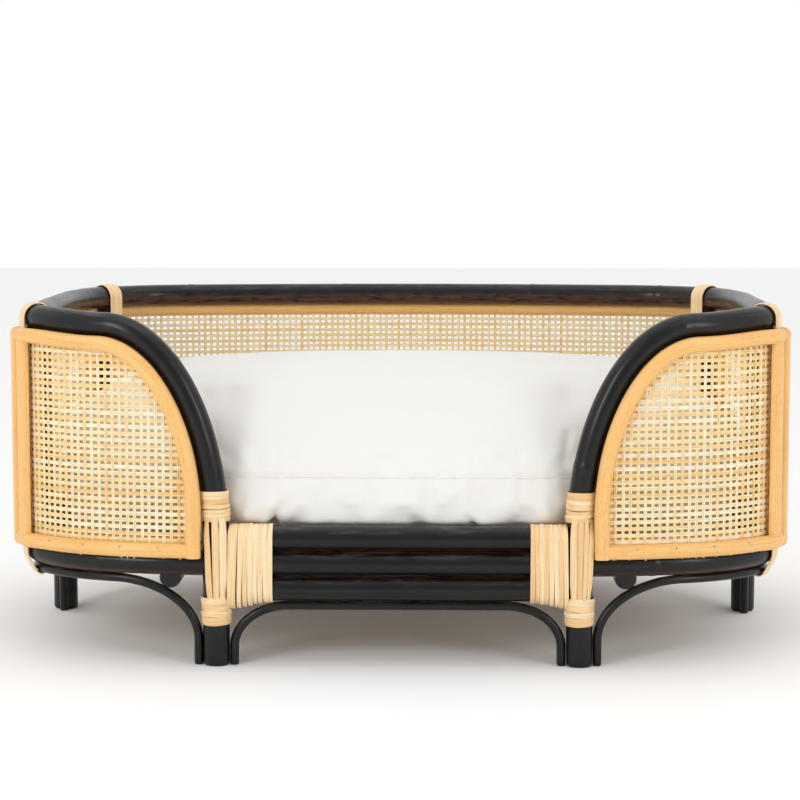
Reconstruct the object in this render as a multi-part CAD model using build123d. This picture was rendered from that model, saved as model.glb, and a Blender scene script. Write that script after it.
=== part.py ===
from build123d import *
from math import asin, cos, degrees, radians, sin, tan
import os

# Pet day-bed of bent rattan poles with cane webbing panels and a loose cushion.
# Millimetres. +Z up, +X to the bed's right seen from the front, front faces -Y.
# The origin is on the floor, under the middle of the whole bed.

# ---- driving dimensions -------------------------------------------------------------------------
POST_X = 158.0  # centre of each front post
TOUCH = 0.05  # gap left between wood that touches

RAIL_R = 11.0  # seat ring, top rail and front rails
POST_R = 11.5  # arm posts and legs
ARCH_R = 4.0  # thin arch poles
CORNER_R = 9.0  # corner posts
BEARER_R = 9.5

RING_Z = 89.3
TOP_Z = 299.0
FRONT_RAIL_ZS = (67.3, 89.3, 111.3)

# Plan of the frame, from the right front post round to the middle of the back:
# (radius, degrees turned) for a curve, (0, length) for a straight run.
HALF_PLAN = ((322, 18), (138, 27), (56, 43.4), (0, 175), (400, 11.6), (110, 68))
FRONT_CORNER_TURN = 66.0  # headings at which the poles join, in degrees from +X
BACK_CORNER_TURN = 125.0

ARM_SPRING_Z = 115.0  # where the arm starts to bend
ARM_REACH = 98.0  # half-axes of the arm's quarter ellipse
ARM_RISE = 180.0

SIDE_LEG_Y = 251.0  # behind the front posts
BACK_LEG_X = 157.0

CANE_T = 1.5
CANE_OUT = 9.5  # inner face of the cane, outward of the frame line
BATTEN_W = 14.0
BATTEN_T = 7.5
INNER_BATTEN_W = 12.0
INNER_BATTEN_T = 6.4
PANEL_LOW_Z = 95.0
PANEL_HIGH_Z = 287.5

STRAP_W = 17.0
STRAP_T = 1.9
STRAP_GAP = 0.5
PEEL_T = 1.5

LASHING_LOW_Z = 61.5
LASHING_HIGH_Z = 126.5
BINDING_FOOT_Z = 36.0
BINDING_TOP_Z = 153.0
BINDING_LEAN = 1.0  # the arm has begun to bend where the upper binding holds it

SLAT_W = 22.0
SLAT_T = 6.0
SLAT_COUNT = 9
SLAT_END_GAP = 3.0  # from the inner face of the seat ring
BEARER_X = 198.0
BEARER_Z = 76.5

CUSHION_INSET = 17.0  # from the frame line
CUSHION_H = 140.0
CUSHION_EDGE = 30.0
COVER_T = 1.6

DOWEL_R = 4.0
DOWEL_HALF = 20.0
SCREW_R = 2.0
SCREW_HEAD_R = 4.0
SCREW_HEAD_T = 3.0
NAIL_R = 0.7
NAIL_LENGTH = 13.0

# ---- worked out from them -----------------------------------------------------------------------
CANE_FACE = CANE_OUT + CANE_T
ARM_CENTRE_X = POST_X + ARM_REACH
ARCH_Z = RING_Z - RAIL_R - ARCH_R - 2 * TOUCH
LEG_TO_ARCH = POST_R + ARCH_R + 2 * TOUCH
SLAT_Z = BEARER_Z + BEARER_R + TOUCH
CUSHION_Z = SLAT_Z + SLAT_T + 0.3


def lay_runs():
    """Every run of the frame line as (start length, x, y, heading, radius, length), right side to left."""
    def add(radius, amount):
        x, y, way, at = state
        length = radius * radians(amount) if radius else amount
        runs.append((at, x, y, way, radius, length))
        if radius:
            end = way + radians(amount)
            x += radius * (sin(end) - sin(way))
            y += radius * (cos(way) - cos(end))
            way = end
        else:
            x += amount * cos(way)
            y += amount * sin(way)
        state[:] = [x, y, way, at + length]

    runs, state = [], [POST_X, 0.0, 0.0, 0.0]
    for radius, amount in HALF_PLAN:
        add(radius, amount)
    x, _, way, _ = state
    add(x / sin(way), 2 * (180 - degrees(way)))
    for radius, amount in reversed(HALF_PLAN):
        add(radius, amount)
    return runs, state[3]


RUNS, LOOP = lay_runs()


def run_at(s):
    """The run that holds this length along the frame line."""
    return [r for r in RUNS if r[0] <= s + 1e-9][-1]


def heading(s, run=None):
    """Direction of the frame line there, in radians from +X."""
    at, _, _, way, radius, _ = run or run_at(s)
    return way + (s - at) / radius if radius else way


def plan(s, out=0.0, run=None):
    """(x, y) on the frame line, y counted from the front posts, moved outward."""
    run = run or run_at(s)
    at, x, y, way, radius, _ = run
    here = heading(s, run)
    if radius:
        x += radius * (sin(here) - sin(way))
        y += radius * (cos(way) - cos(here))
    else:
        x += (s - at) * cos(way)
        y += (s - at) * sin(way)
    return x + out * sin(here), y - out * cos(here)


FRONT_Y = -plan(LOOP / 2)[1] / 2  # the battens stand out equally at front and back


def spot(s, z, out=0.0, run=None):
    """A point on the frame line, in the bed's own frame."""
    x, y = plan(s, out, run)
    return Vector(x, y + FRONT_Y, z)


def turn_length(turn):
    """Length along the frame line at which its heading reaches this many degrees."""
    for at, _, _, way, radius, length in RUNS:
        if radius and way <= radians(turn) <= way + length / radius:
            return at + (radians(turn) - way) * radius


def length_where(test, out=0.0):
    """First length along the right half at which test(x, y) turns true, by halving."""
    low, high = 0.0, LOOP / 2
    for _ in range(50):
        middle = (low + high) / 2
        low, high = (low, middle) if test(*plan(middle, out)) else (middle, high)
    return low


FRONT_CORNER = turn_length(FRONT_CORNER_TURN)
BACK_CORNER = turn_length(BACK_CORNER_TURN)
SIDE_LEG = length_where(lambda x, y: y >= SIDE_LEG_Y)
BACK_LEG = length_where(lambda x, y: y >= SIDE_LEG_Y and x <= BACK_LEG_X)


def stretches(s0, s1):
    """The lengths from s0 to s1, cut where one run ends and the next starts."""
    cuts = [r[0] for r in RUNS if s0 + 0.01 < r[0] < s1 - 0.01]
    return list(zip([s0] + cuts, cuts + [s1]))


def frame_edges(s0, s1, z, out=0.0):
    """Edges along the frame line, moved outward."""
    edges = []
    for a, b in stretches(s0, s1):
        run = run_at((a + b) / 2)
        start, middle, end = (spot(s, z, out, run) for s in (a, (a + b) / 2, b))
        edges.append(ThreePointArc(start, middle, end) if run[4] else Line(start, end))
    return edges


def pole(path, radius):
    """A round pole along a path."""
    return sweep(Plane(origin=path @ 0, z_dir=path % 0) * Circle(radius), path=path)


def rail(s0, s1, z, radius=RAIL_R):
    """A level pole that follows the frame line."""
    return pole(Wire(frame_edges(s0, s1, z)), radius)


def band(s0, s1, out0, out1, z0, z1):
    """An upright strip that follows the frame line, between two offsets and two heights."""
    inner = frame_edges(s0, s1, z0, out0)
    outer = frame_edges(s0, s1, z0, out1)
    ends = [Line(inner[0] @ 0, outer[0] @ 0), Line(inner[-1] @ 1, outer[-1] @ 1)]
    return extrude(make_face(inner + outer + ends), amount=z1 - z0, dir=(0, 0, 1))


def bent_path(points):
    """Straight runs through the points, joined by arcs as large as the runs allow."""
    radii = []
    for before, here, after in zip(points, points[1:], points[2:]):
        shorter = min((here - before).length, (after - here).length)
        half_turn = radians((here - before).get_angle(after - here)) / 2
        radii.append(0.45 * shorter / tan(half_turn))
    return FilletPolyline(*points, radius=radii)


def upright(x, y, z0, z1, radius):
    return Pos(x, y, z0) * extrude(Circle(radius), amount=z1 - z0)


def tube(x, y, z0, z1, inner, outer):
    return Pos(x, y, z0) * extrude(Circle(outer) - Circle(inner), amount=z1 - z0)


# ---- arm posts ----------------------------------------------------------------------------------
def arm_point(angle):
    """A point on the arm's quarter ellipse, angle in degrees from its vertical start."""
    x = ARM_CENTRE_X - ARM_REACH * cos(radians(angle))
    s = length_where(lambda px, py: px >= x)
    return spot(s, ARM_SPRING_Z + ARM_RISE * sin(radians(angle)))


def arm_path():
    """Front foot, post and arm in one bend, up to just past the joint at the front corner."""
    points = [spot(0, 0), spot(0, ARM_SPRING_Z - 25)]
    points += [arm_point(angle) for angle in range(5, 90, 10)]
    level = ARM_SPRING_Z + ARM_RISE
    start = length_where(lambda px, py: px >= ARM_CENTRE_X)
    steps = 5
    for i in range(1, steps):
        share = i / (steps - 0.5)
        points.append(spot(start + share * (FRONT_CORNER - start), level + (TOP_Z - level) * share))
    points.append(spot(FRONT_CORNER + 3, TOP_Z))
    return bent_path(points)


def under_arm(gap):
    """Everything below and outboard of the arm's centre line, at least gap from it, seen from the front."""
    left, middle = POST_X + gap, ARM_CENTRE_X
    far, low = 420.0, 60.0
    high = ARM_SPRING_Z + ARM_RISE - gap
    end = TOP_Z - gap
    turn = EllipticalCenterArc(
        (middle, ARM_SPRING_Z), ARM_REACH - gap, ARM_RISE - gap, start_angle=90, arc_size=90)
    corner_x = plan(FRONT_CORNER)[0]
    edges = [
        Line((left, low), (left, ARM_SPRING_Z)),
        turn,
        Line((middle, high), (corner_x, end)),
        Line((corner_x, end), (far, end)),
        Line((far, end), (far, low)),
        Line((far, low), (left, low)),
    ]
    face = Plane.XZ * make_face(edges)
    return extrude(face, amount=400, both=True)


# ---- arches -------------------------------------------------------------------------------------
def arch_points(place, reach, foot_z, top_z):
    """One end of an arch: up from the floor, then over. place(run, z) is a point run along from its leg."""
    points = [place(0, 0)]
    for angle in (0, 22, 44, 66, 82):
        run = reach * (1 - cos(radians(angle)))
        points.append(place(run, foot_z + (top_z - foot_z) * sin(radians(angle))))
    points[1] = place(0, foot_z * 0.6)
    return points


def frame_arch(s0, s1, top_z, reach, foot_z):
    """An arch below the seat ring, from beside one leg to beside the next."""
    near = arch_points(lambda run, z: spot(s0 + run, z), reach, foot_z, top_z)
    far = arch_points(lambda run, z: spot(s1 - run, z), reach, foot_z, top_z)
    middle = []
    for a, b in stretches(s0 + reach, s1 - reach):
        radius = run_at((a + b) / 2)[4]
        if not radius:
            middle += [spot(a, top_z), spot(b, top_z)]
            continue
        count = max(2, round(degrees((b - a) / radius) / 10))
        middle += [spot(a + (b - a) * (i + 0.5) / count, top_z) for i in range(count)]
    return pole(bent_path(near + middle + far[::-1]), ARCH_R)


def front_arch():
    """The low arch below the three front rails."""
    inside = POST_X - LEG_TO_ARCH
    top_z = FRONT_RAIL_ZS[0] - RAIL_R - ARCH_R - 4 * TOUCH
    left = arch_points(lambda run, z: Vector(run - inside, FRONT_Y, z), 48, 16, top_z)
    right = arch_points(lambda run, z: Vector(inside - run, FRONT_Y, z), 48, 16, top_z)
    left[-1] = Vector(60 - inside, FRONT_Y, top_z)
    right[-1] = Vector(inside - 60, FRONT_Y, top_z)
    return pole(bent_path(left + right[::-1]), ARCH_R)


# ---- peel bindings ------------------------------------------------------------------------------
def rail_end_binding():
    """Peel wound round the ends of all three front rails."""
    inner_end, outer_end = POST_X - 50.0, POST_X - 15.0
    height = FRONT_RAIL_ZS[-1] - FRONT_RAIL_ZS[0]
    middle = (FRONT_RAIL_ZS[-1] + FRONT_RAIL_ZS[0]) / 2
    inside = RAIL_R + TOUCH
    outside = inside + PEEL_T
    section = SlotCenterToCenter(height, 2 * outside) - SlotCenterToCenter(height, 2 * inside)
    plane = Plane(origin=(inner_end, FRONT_Y, middle), x_dir=(0, 0, 1), z_dir=(1, 0, 0))
    return extrude(plane * section, amount=outer_end - inner_end)


def post_lashing():
    """Peel that runs up and down over the post, before and behind it, between its two bindings."""
    inner_edge, outer_edge = POST_X - 13.5, POST_X + POST_R + 0.7
    centre = ((inner_edge + outer_edge) / 2, (LASHING_LOW_Z + LASHING_HIGH_Z) / 2)
    strips = []
    for side in (-1, 1):
        y = FRONT_Y + side * (POST_R + 3 * TOUCH + PEEL_T / 2)
        strip = Box(outer_edge - inner_edge, PEEL_T, LASHING_HIGH_Z - LASHING_LOW_Z)
        strips.append(Pos(centre[0], y, centre[1]) * strip)
    return group(strips)


def corner_strap(s):
    """A peel strap round the joint: over the top rail, down both faces, under the ring and its arch."""
    def outline(extra):
        side = POST_R + STRAP_GAP + extra
        foot = ARCH_R + 1 + extra
        slope = asin((side - foot) / (RING_Z - ARCH_Z))
        hip = Vector(side * cos(slope), RING_Z - side * sin(slope))
        toe = Vector(foot * cos(slope), ARCH_Z - foot * sin(slope))
        edges = [
            ThreePointArc((side, TOP_Z), (0, TOP_Z + side), (-side, TOP_Z)),
            ThreePointArc((toe.X, toe.Y), (0, ARCH_Z - foot), (-toe.X, toe.Y)),
        ]
        for way in (-1, 1):
            knee = ThreePointArc(
                (way * side, RING_Z),
                (way * side * cos(slope / 2), RING_Z - side * sin(slope / 2)),
                (way * hip.X, hip.Y))
            edges += [Line((way * side, TOP_Z), (way * side, RING_Z)), knee]
            edges += [Line((way * hip.X, hip.Y), (way * toe.X, toe.Y))]
        return make_face(edges)

    _, x, y, way, radius, _ = run_at(s)
    centre = Vector(x - radius * sin(way), y + radius * cos(way) + FRONT_Y, 0)
    sweep_angle = degrees(STRAP_W / radius)
    start = heading(s) - radians(sweep_angle) / 2
    out = Vector(sin(start), -cos(start), 0)
    origin = centre + out * radius
    face = Plane(origin=origin, x_dir=out, z_dir=out.cross(Vector(0, 0, 1))) * (
        outline(STRAP_T) - outline(0))
    return revolve(face, axis=Axis(centre, (0, 0, 1)), revolution_arc=sweep_angle)


# ---- panels -------------------------------------------------------------------------------------
def batten_frame(s0, s1, out0, out1, low, high, width):
    """Four battens round a panel: bottom, top, and the two ends between them."""
    return [
        band(s0, s1, out0, out1, low, low + width),
        band(s0, s1, out0, out1, high - width, high),
        band(s0, s0 + width, out0, out1, low + width + TOUCH, high - width - TOUCH),
        band(s1 - width, s1, out0, out1, low + width + TOUCH, high - width - TOUCH),
    ]


def wing_battens(out0, out1, low, width, corner_gap, arm_gap):
    """The wing's battens: one bent along the arm, one below, one beside the corner post."""
    near, end = 5.0, FRONT_CORNER - corner_gap
    edge = POST_R + arm_gap
    curve = band(near, end, out0, out1, low, PANEL_HIGH_Z) & (under_arm(edge) - under_arm(edge + width))
    inside = under_arm(edge + width + TOUCH)
    bottom = band(near, end, out0, out1, low, low + width) & inside
    rear = band(end - width, end, out0, out1, low + width + TOUCH, PANEL_HIGH_Z) & inside
    return [curve, bottom, rear]


def group(solids):
    """Several separate solids as one shape."""
    return Compound(children=[Part(s.wrapped) for piece in solids for s in piece.solids()])


def nails(s0, s1, z, count):
    """Small nails through outer batten, cane and inner batten."""
    found = []
    for i in range(count):
        s = s0 + (s1 - s0) * (i + 0.5) / count
        head = spot(s, z, CANE_FACE + BATTEN_T - 0.5)
        inward = spot(s, z, CANE_OUT) - spot(s, z, CANE_OUT + 1)
        found.append(extrude(Plane(origin=head, z_dir=inward) * Circle(NAIL_R), amount=NAIL_LENGTH))
    return found


# ---- assembly -----------------------------------------------------------------------------------
def mirrored(shape):
    return mirror(shape, about=Plane.YZ)


def bored(shape, *others):
    """The shape with the others' room cut out of it."""
    for other in others:
        shape = shape - other
    return shape


def ring_room(s, reach, z):
    """The room that a rail takes, for the end of a pole that is coped to it."""
    return rail(s - reach, s + reach, z, RAIL_R + TOUCH)


def both_sides(parts, name, shape):
    parts["right_" + name] = shape
    parts["left_" + name] = mirrored(shape)


def frame_screws():
    """Screws up the legs' joints, and through the posts into the top and bottom front rails."""
    heads = [(spot(s, RING_Z + 9), (0, 0, -1)) for s in (SIDE_LEG, BACK_LEG)]
    for z in (FRONT_RAIL_ZS[0], FRONT_RAIL_ZS[-1]):
        heads.append((Vector(POST_X + POST_R - 1.5, FRONT_Y, z), (-1, 0, 0)))
    screws = []
    for head, way in heads:
        plane = Plane(origin=head, z_dir=way)
        shank = extrude(plane * Circle(SCREW_R), amount=58)
        screws.append(shank + extrude(plane * Circle(SCREW_HEAD_R), amount=SCREW_HEAD_T))
    return screws


def joint_dowels():
    """Dowels in the ends of poles that meet end to end, and through each post."""
    found = []
    for s in (FRONT_CORNER, BACK_CORNER):
        found += [rail(s - DOWEL_HALF, s + DOWEL_HALF, z, DOWEL_R) for z in (RING_Z, TOP_Z)]
    through = POST_R + DOWEL_HALF
    across = Plane(origin=(POST_X - through, FRONT_Y, RING_Z), z_dir=(1, 0, 0))
    found.append(extrude(across * Circle(DOWEL_R), amount=2 * through))
    return found


def seat_slats():
    """Flat slats across the bearers, each as long as the seat ring leaves room for."""
    inside = -(RAIL_R + SLAT_END_GAP)
    first, last = 38.0, plan(LOOP / 2)[1] - 52.0
    slats = []
    for i in range(SLAT_COUNT):
        y = first + (last - first) * i / (SLAT_COUNT - 1)
        edges = (y - SLAT_W / 2, y + SLAT_W / 2)
        half = min(plan(length_where(lambda px, py: py >= edge, inside), inside)[0] for edge in edges)
        slats.append(Pos(0, y + FRONT_Y, SLAT_Z + SLAT_T / 2) * Box(2 * half, SLAT_W, SLAT_T))
    return group(slats)


def cushion_body(inset, low, high, edge):
    """A plain cushion that fills the frame, its rim this far inside the frame line."""
    rim = frame_edges(0, LOOP, low, -inset)
    face = make_face(rim + [Line(rim[-1] @ 1, rim[0] @ 0)])
    body = extrude(face, amount=high - low, dir=(0, 0, 1))
    return fillet(body.faces().filter_by(Axis.Z).edges(), edge)


def cushion(parts):
    """The cushion's two cover panels, sewn together at half height, and its filling."""
    high = CUSHION_Z + CUSHION_H
    whole = cushion_body(CUSHION_INSET, CUSHION_Z, high, CUSHION_EDGE)
    filling = cushion_body(
        CUSHION_INSET + COVER_T, CUSHION_Z + COVER_T, high - COVER_T, CUSHION_EDGE - COVER_T)
    cover = whole - filling
    seam = Plane(origin=(0, 0, CUSHION_Z + CUSHION_H / 2), z_dir=(0, 0, 1))
    parts["cushion_upper_cover"] = split(cover, bisect_by=seam, keep=Keep.TOP)
    parts["cushion_lower_cover"] = split(cover, bisect_by=seam, keep=Keep.BOTTOM)
    parts["cushion_filling"] = filling


def build():
    parts = {}
    screws, dowels = frame_screws(), joint_dowels()
    arm = arm_path()
    arm_room = pole(arm, POST_R + TOUCH)
    post_room = upright(POST_X, FRONT_Y, 0, LASHING_HIGH_Z, POST_R + TOUCH)
    beyond_joint = rail(FRONT_CORNER - TOUCH, FRONT_CORNER + 12, TOP_Z, 2 * POST_R)
    arm_post = bored(pole(arm, POST_R), beyond_joint, *screws[2:], dowels[-1], dowels[1])
    both_sides(parts, "arm_post", arm_post)

    for name, z in zip(("bottom", "middle", "top"), FRONT_RAIL_ZS):
        half = extrude(Plane(origin=(0, FRONT_Y, z), z_dir=(1, 0, 0)) * Circle(RAIL_R), amount=POST_X)
        half = bored(half, post_room, *screws[2:], dowels[-1])
        parts["front_rail_" + name] = half + mirrored(half)

    wing = bored(rail(0, FRONT_CORNER - TOUCH, RING_Z), post_room, dowels[0], dowels[-1])
    side = bored(rail(FRONT_CORNER + TOUCH, BACK_CORNER - TOUCH, RING_Z), screws[0], dowels[0], dowels[2])
    back_half = bored(rail(BACK_CORNER + TOUCH, LOOP / 2, RING_Z), screws[1], dowels[2])
    both_sides(parts, "wing_seat_rail", wing)
    both_sides(parts, "side_seat_rail", side)
    parts["back_seat_rail"] = back_half + mirrored(back_half)

    top_side = bored(rail(FRONT_CORNER + TOUCH, BACK_CORNER - TOUCH, TOP_Z), dowels[1], dowels[3])
    top_back = bored(rail(BACK_CORNER + TOUCH, LOOP / 2, TOP_Z), dowels[3])
    both_sides(parts, "side_top_rail", top_side)
    parts["back_top_rail"] = top_back + mirrored(top_back)

    for name, s, screw in (("side_leg", SIDE_LEG, screws[0]), ("back_leg", BACK_LEG, screws[1])):
        at = spot(s, 0)
        leg = upright(at.X, at.Y, 0, RING_Z - 4, POST_R)
        both_sides(parts, name, bored(leg, ring_room(s, 30, RING_Z), screw))
    for name, s in (("front_corner_post", FRONT_CORNER), ("back_corner_post", BACK_CORNER)):
        at = spot(s, 0)
        stick = upright(at.X, at.Y, RING_Z + 4, TOP_Z - 4, CORNER_R)
        both_sides(parts, name, bored(stick, ring_room(s, 15, RING_Z), ring_room(s, 15, TOP_Z), arm_room))

    parts["front_arch"] = front_arch()
    wing_arch = frame_arch(LEG_TO_ARCH, SIDE_LEG - LEG_TO_ARCH, ARCH_Z, 75, 22)
    rear_arch = frame_arch(SIDE_LEG + LEG_TO_ARCH, BACK_LEG - LEG_TO_ARCH, ARCH_Z, 75, 22)
    both_sides(parts, "wing_arch", wing_arch)
    both_sides(parts, "rear_arch", rear_arch)
    parts["back_arch"] = frame_arch(BACK_LEG + LEG_TO_ARCH, LOOP - BACK_LEG - LEG_TO_ARCH, ARCH_Z, 60, 22)

    near = length_where(lambda x, y: x >= BEARER_X)
    far = length_where(lambda x, y: y >= SIDE_LEG_Y and x <= BEARER_X)
    start, end = plan(near)[1] + FRONT_Y - 6, plan(far)[1] + FRONT_Y + 6
    bearer = Plane(origin=(BEARER_X, start, BEARER_Z), z_dir=(0, 1, 0)) * Circle(BEARER_R)
    bearer = extrude(bearer, amount=end - start)
    bearer = bored(bearer, ring_room(near, 20, RING_Z), ring_room(far, 20, RING_Z))
    parts["seat_bearers"] = group([bearer, mirrored(bearer)])

    parts["seat_slats"] = seat_slats()

    strap_gap = STRAP_W / 2 + 0.3
    panels = {
        "right_wing": (5.0, FRONT_CORNER - TOUCH),
        "right_side": (FRONT_CORNER + TOUCH, BACK_CORNER - TOUCH),
        "back": (BACK_CORNER + TOUCH, LOOP - BACK_CORNER - TOUCH),
    }
    canes = {}
    for name, (a, b) in panels.items():
        canes[name] = band(a, b, CANE_OUT, CANE_FACE, PANEL_LOW_Z + 1, PANEL_HIGH_Z)
    canes["right_wing"] = canes["right_wing"] & under_arm(POST_R + 1.0)
    outer_low, outer_in, outer_out = PANEL_LOW_Z, CANE_FACE + TOUCH, CANE_FACE + BATTEN_T
    inner_low, inner_in, inner_out = RING_Z + RAIL_R + 0.3, CANE_OUT - INNER_BATTEN_T, CANE_OUT - TOUCH
    post_gap = CORNER_R + 0.5
    outer = {"right_wing": wing_battens(outer_in, outer_out, outer_low, BATTEN_W, strap_gap, 1.0)}
    inner = {"right_wing": wing_battens(inner_in, inner_out, inner_low, INNER_BATTEN_W, post_gap, 4.3)}
    for name in ("right_side", "back"):
        a, b = panels[name]
        outer[name] = batten_frame(
            a + strap_gap, b - strap_gap, outer_in, outer_out, outer_low, PANEL_HIGH_Z, BATTEN_W)
        inner[name] = batten_frame(
            a + post_gap, b - post_gap, inner_in, inner_out, inner_low, PANEL_HIGH_Z, INNER_BATTEN_W)
    for name in ("wing", "side"):
        both_sides(parts, name + "_cane", canes["right_" + name])
        both_sides(parts, name + "_battens", group(outer["right_" + name]))
    parts["back_cane"] = canes["back"]
    parts["back_battens"] = group(outer["back"])
    both_sides(parts, "inner_battens", group(inner["right_wing"] + inner["right_side"]))
    parts["back_inner_battens"] = group(inner["back"])

    pins = {}
    low_row, high_row = inner_low + 4, PANEL_HIGH_Z - INNER_BATTEN_W / 2
    for name, low_count, high_count in (("right_wing", 4, 0), ("right_side", 6, 6), ("back", 12, 12)):
        a, b = panels[name]
        ends = (a + 25, b - 25)
        pins[name] = nails(*ends, low_row, low_count) + nails(*ends, high_row, high_count)
    side_pins = pins["right_wing"] + pins["right_side"]
    parts["batten_nails"] = group(pins["back"] + side_pins + [mirrored(pin) for pin in side_pins])

    both_sides(parts, "front_corner_strap", corner_strap(FRONT_CORNER))
    both_sides(parts, "back_corner_strap", corner_strap(BACK_CORNER))
    bindings = {
        "upper_post_binding": (LASHING_HIGH_Z + 0.5, BINDING_TOP_Z, BINDING_LEAN),
        "lower_post_binding": (BINDING_FOOT_Z, FRONT_RAIL_ZS[0] - RAIL_R - 0.3, 0.0),
    }
    for name, (low, high, lean) in bindings.items():
        inner = POST_R + 1.5 * lean + 6 * TOUCH
        ring = tube(POST_X + lean, FRONT_Y, low, high, inner, inner + PEEL_T)
        both_sides(parts, name, ring)
    both_sides(parts, "rail_end_binding", rail_end_binding())
    both_sides(parts, "post_lashing", post_lashing())
    parts["frame_screws"] = group(screws + [mirrored(s) for s in screws])
    parts["joint_dowels"] = group(dowels + [mirrored(d) for d in dowels])

    cushion(parts)
    return parts


os.makedirs("parts", exist_ok=True)
for name, shape in build().items():
    export_step(shape, f"parts/{name}.step")
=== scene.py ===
import math

import bmesh
import bpy
import numpy as np
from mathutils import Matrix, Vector
from mathutils.bvhtree import BVHTree


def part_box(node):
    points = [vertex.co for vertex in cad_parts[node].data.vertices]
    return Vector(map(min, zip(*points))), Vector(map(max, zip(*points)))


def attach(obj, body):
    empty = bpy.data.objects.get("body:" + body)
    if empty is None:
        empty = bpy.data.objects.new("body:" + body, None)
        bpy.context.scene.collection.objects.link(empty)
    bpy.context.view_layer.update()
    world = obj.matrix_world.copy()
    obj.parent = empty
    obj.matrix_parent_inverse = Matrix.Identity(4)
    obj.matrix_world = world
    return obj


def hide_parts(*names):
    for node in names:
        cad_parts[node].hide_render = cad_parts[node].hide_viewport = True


# Cane-panelled rattan pet bed: black bent poles, woven cane panels, peel bindings and a puffed cushion.
# Metres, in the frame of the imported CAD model: +X to the bed's right, front faces -Y, +Z up.

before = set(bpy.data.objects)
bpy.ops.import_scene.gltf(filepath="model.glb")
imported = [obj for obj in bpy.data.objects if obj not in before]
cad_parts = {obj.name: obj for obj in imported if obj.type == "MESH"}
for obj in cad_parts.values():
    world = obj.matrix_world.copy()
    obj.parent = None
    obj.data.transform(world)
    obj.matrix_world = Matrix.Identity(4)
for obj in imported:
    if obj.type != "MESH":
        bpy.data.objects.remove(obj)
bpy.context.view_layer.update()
rng = np.random.default_rng(433)
MM = 0.001


# ---- places and sizes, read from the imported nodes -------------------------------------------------
def centre(node):
    low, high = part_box(node)
    return (low + high) / 2


def size(node):
    low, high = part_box(node)
    return high - low


POST_X = centre("right_lower_post_binding").x
FRONT_Y = centre("front_rail_middle").y
RAIL_ZS = [centre("front_rail_" + name).z for name in ("bottom", "middle", "top")]
RING_Z = RAIL_ZS[1]
TOP_Z = centre("back_top_rail").z
RAIL_R = size("front_rail_top").z / 2
POST_R = size("right_side_leg").x / 2
CORNER_R = size("right_front_corner_post").x / 2
ARCH_R = size("front_arch").y / 2
ARCH_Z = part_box("back_arch")[1].z - ARCH_R
FRONT_ARCH_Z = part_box("front_arch")[1].z - ARCH_R
PANEL_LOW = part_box("right_side_battens")[0].z
PANEL_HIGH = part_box("right_side_battens")[1].z
SEAT_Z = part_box("cushion_lower_cover")[0].z
SEAM_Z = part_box("cushion_lower_cover")[1].z
CUSHION_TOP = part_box("cushion_upper_cover")[1].z

# The frame line in plan, as in the CAD model: (radius, degrees) for a curve, (0, length) for a straight.
HALF_PLAN = ((.322, 18), (.138, 27), (.056, 43.4), (0, .175), (.400, 11.6), (.110, 68))
FRONT_CORNER_TURN, BACK_CORNER_TURN = 66.0, 125.0
ARM_SPRING_Z, ARM_REACH, ARM_RISE = .115, .098, .180
CANE_IN, CANE_FACE = 9.5 * MM, 11.0 * MM
BATTEN_W, BATTEN_T = 13.2 * MM, 7.5 * MM
INNER_W, INNER_T = 12 * MM, 6.4 * MM
END_BATTEN_W = 17 * MM
STRAP_W = 17 * MM
STRAP_RISE = 3.1 * MM
PITCH_ACROSS, PITCH_UP = 6.4 * MM, 5.8 * MM
STANDING_W, LYING_W, STRAND_T, WEAVE = 1.40 * MM, 1.72 * MM, .62 * MM, .42 * MM
POLE_STEP, BATTEN_STEP = 2 * MM, 3 * MM
SHARP_ANGLE = 50


def lay_runs():
    """Every run of the frame line: start length, x, y, heading, radius."""
    runs, state = [], [POST_X, FRONT_Y, 0.0, 0.0]

    def add(radius, amount):
        x, y, way, at = state
        length = radius * math.radians(amount) if radius else amount
        runs.append((at, x, y, way, radius))
        if radius:
            end = way + math.radians(amount)
            x += radius * (math.sin(end) - math.sin(way))
            y += radius * (math.cos(way) - math.cos(end))
            way = end
        else:
            x += amount * math.cos(way)
            y += amount * math.sin(way)
        state[:] = [x, y, way, at + length]

    for radius, amount in HALF_PLAN:
        add(radius, amount)
    x, _, way, _ = state
    add(x / math.sin(way), 2 * (180 - math.degrees(way)))
    for radius, amount in reversed(HALF_PLAN):
        add(radius, amount)
    return np.array(runs), state[3]


RUNS, LOOP = lay_runs()


def line(s, z=0.0, out=0.0):
    """Points on the frame line at lengths s, moved outward, and the outward directions there."""
    s = np.asarray(s, float)
    z, out = np.broadcast_to(z, s.shape), np.broadcast_to(out, s.shape)
    at, x, y, way, radius = RUNS[np.clip(np.searchsorted(RUNS[:, 0], s, "right") - 1, 0, None)].T
    bent = radius > 0
    here = way + np.where(bent, (s - at) / np.where(bent, radius, 1), 0)
    px = x + np.where(bent, radius * (np.sin(here) - np.sin(way)), (s - at) * np.cos(way))
    py = y + np.where(bent, radius * (np.cos(way) - np.cos(here)), (s - at) * np.sin(way))
    normal = np.stack([np.sin(here), -np.cos(here), 0 * here], -1)
    return np.stack([px, py, z], -1) + normal * out[..., None], normal


def turn_length(turn):
    """Length at which the frame line has turned by this many degrees."""
    for (at, _, _, way, radius), end in zip(RUNS, list(RUNS[1:, 0]) + [LOOP]):
        if radius and way <= math.radians(turn) <= way + (end - at) / radius:
            return at + (math.radians(turn) - way) * radius


def length_at(node, half=LOOP / 2):
    """Length along the right half of the frame line nearest to a node's centre in plan."""
    s = np.linspace(0, half, 4000)
    points, _ = line(s)
    c = centre(node)
    return s[np.argmin((points[:, 0] - c.x) ** 2 + (points[:, 1] - c.y) ** 2)]


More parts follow.
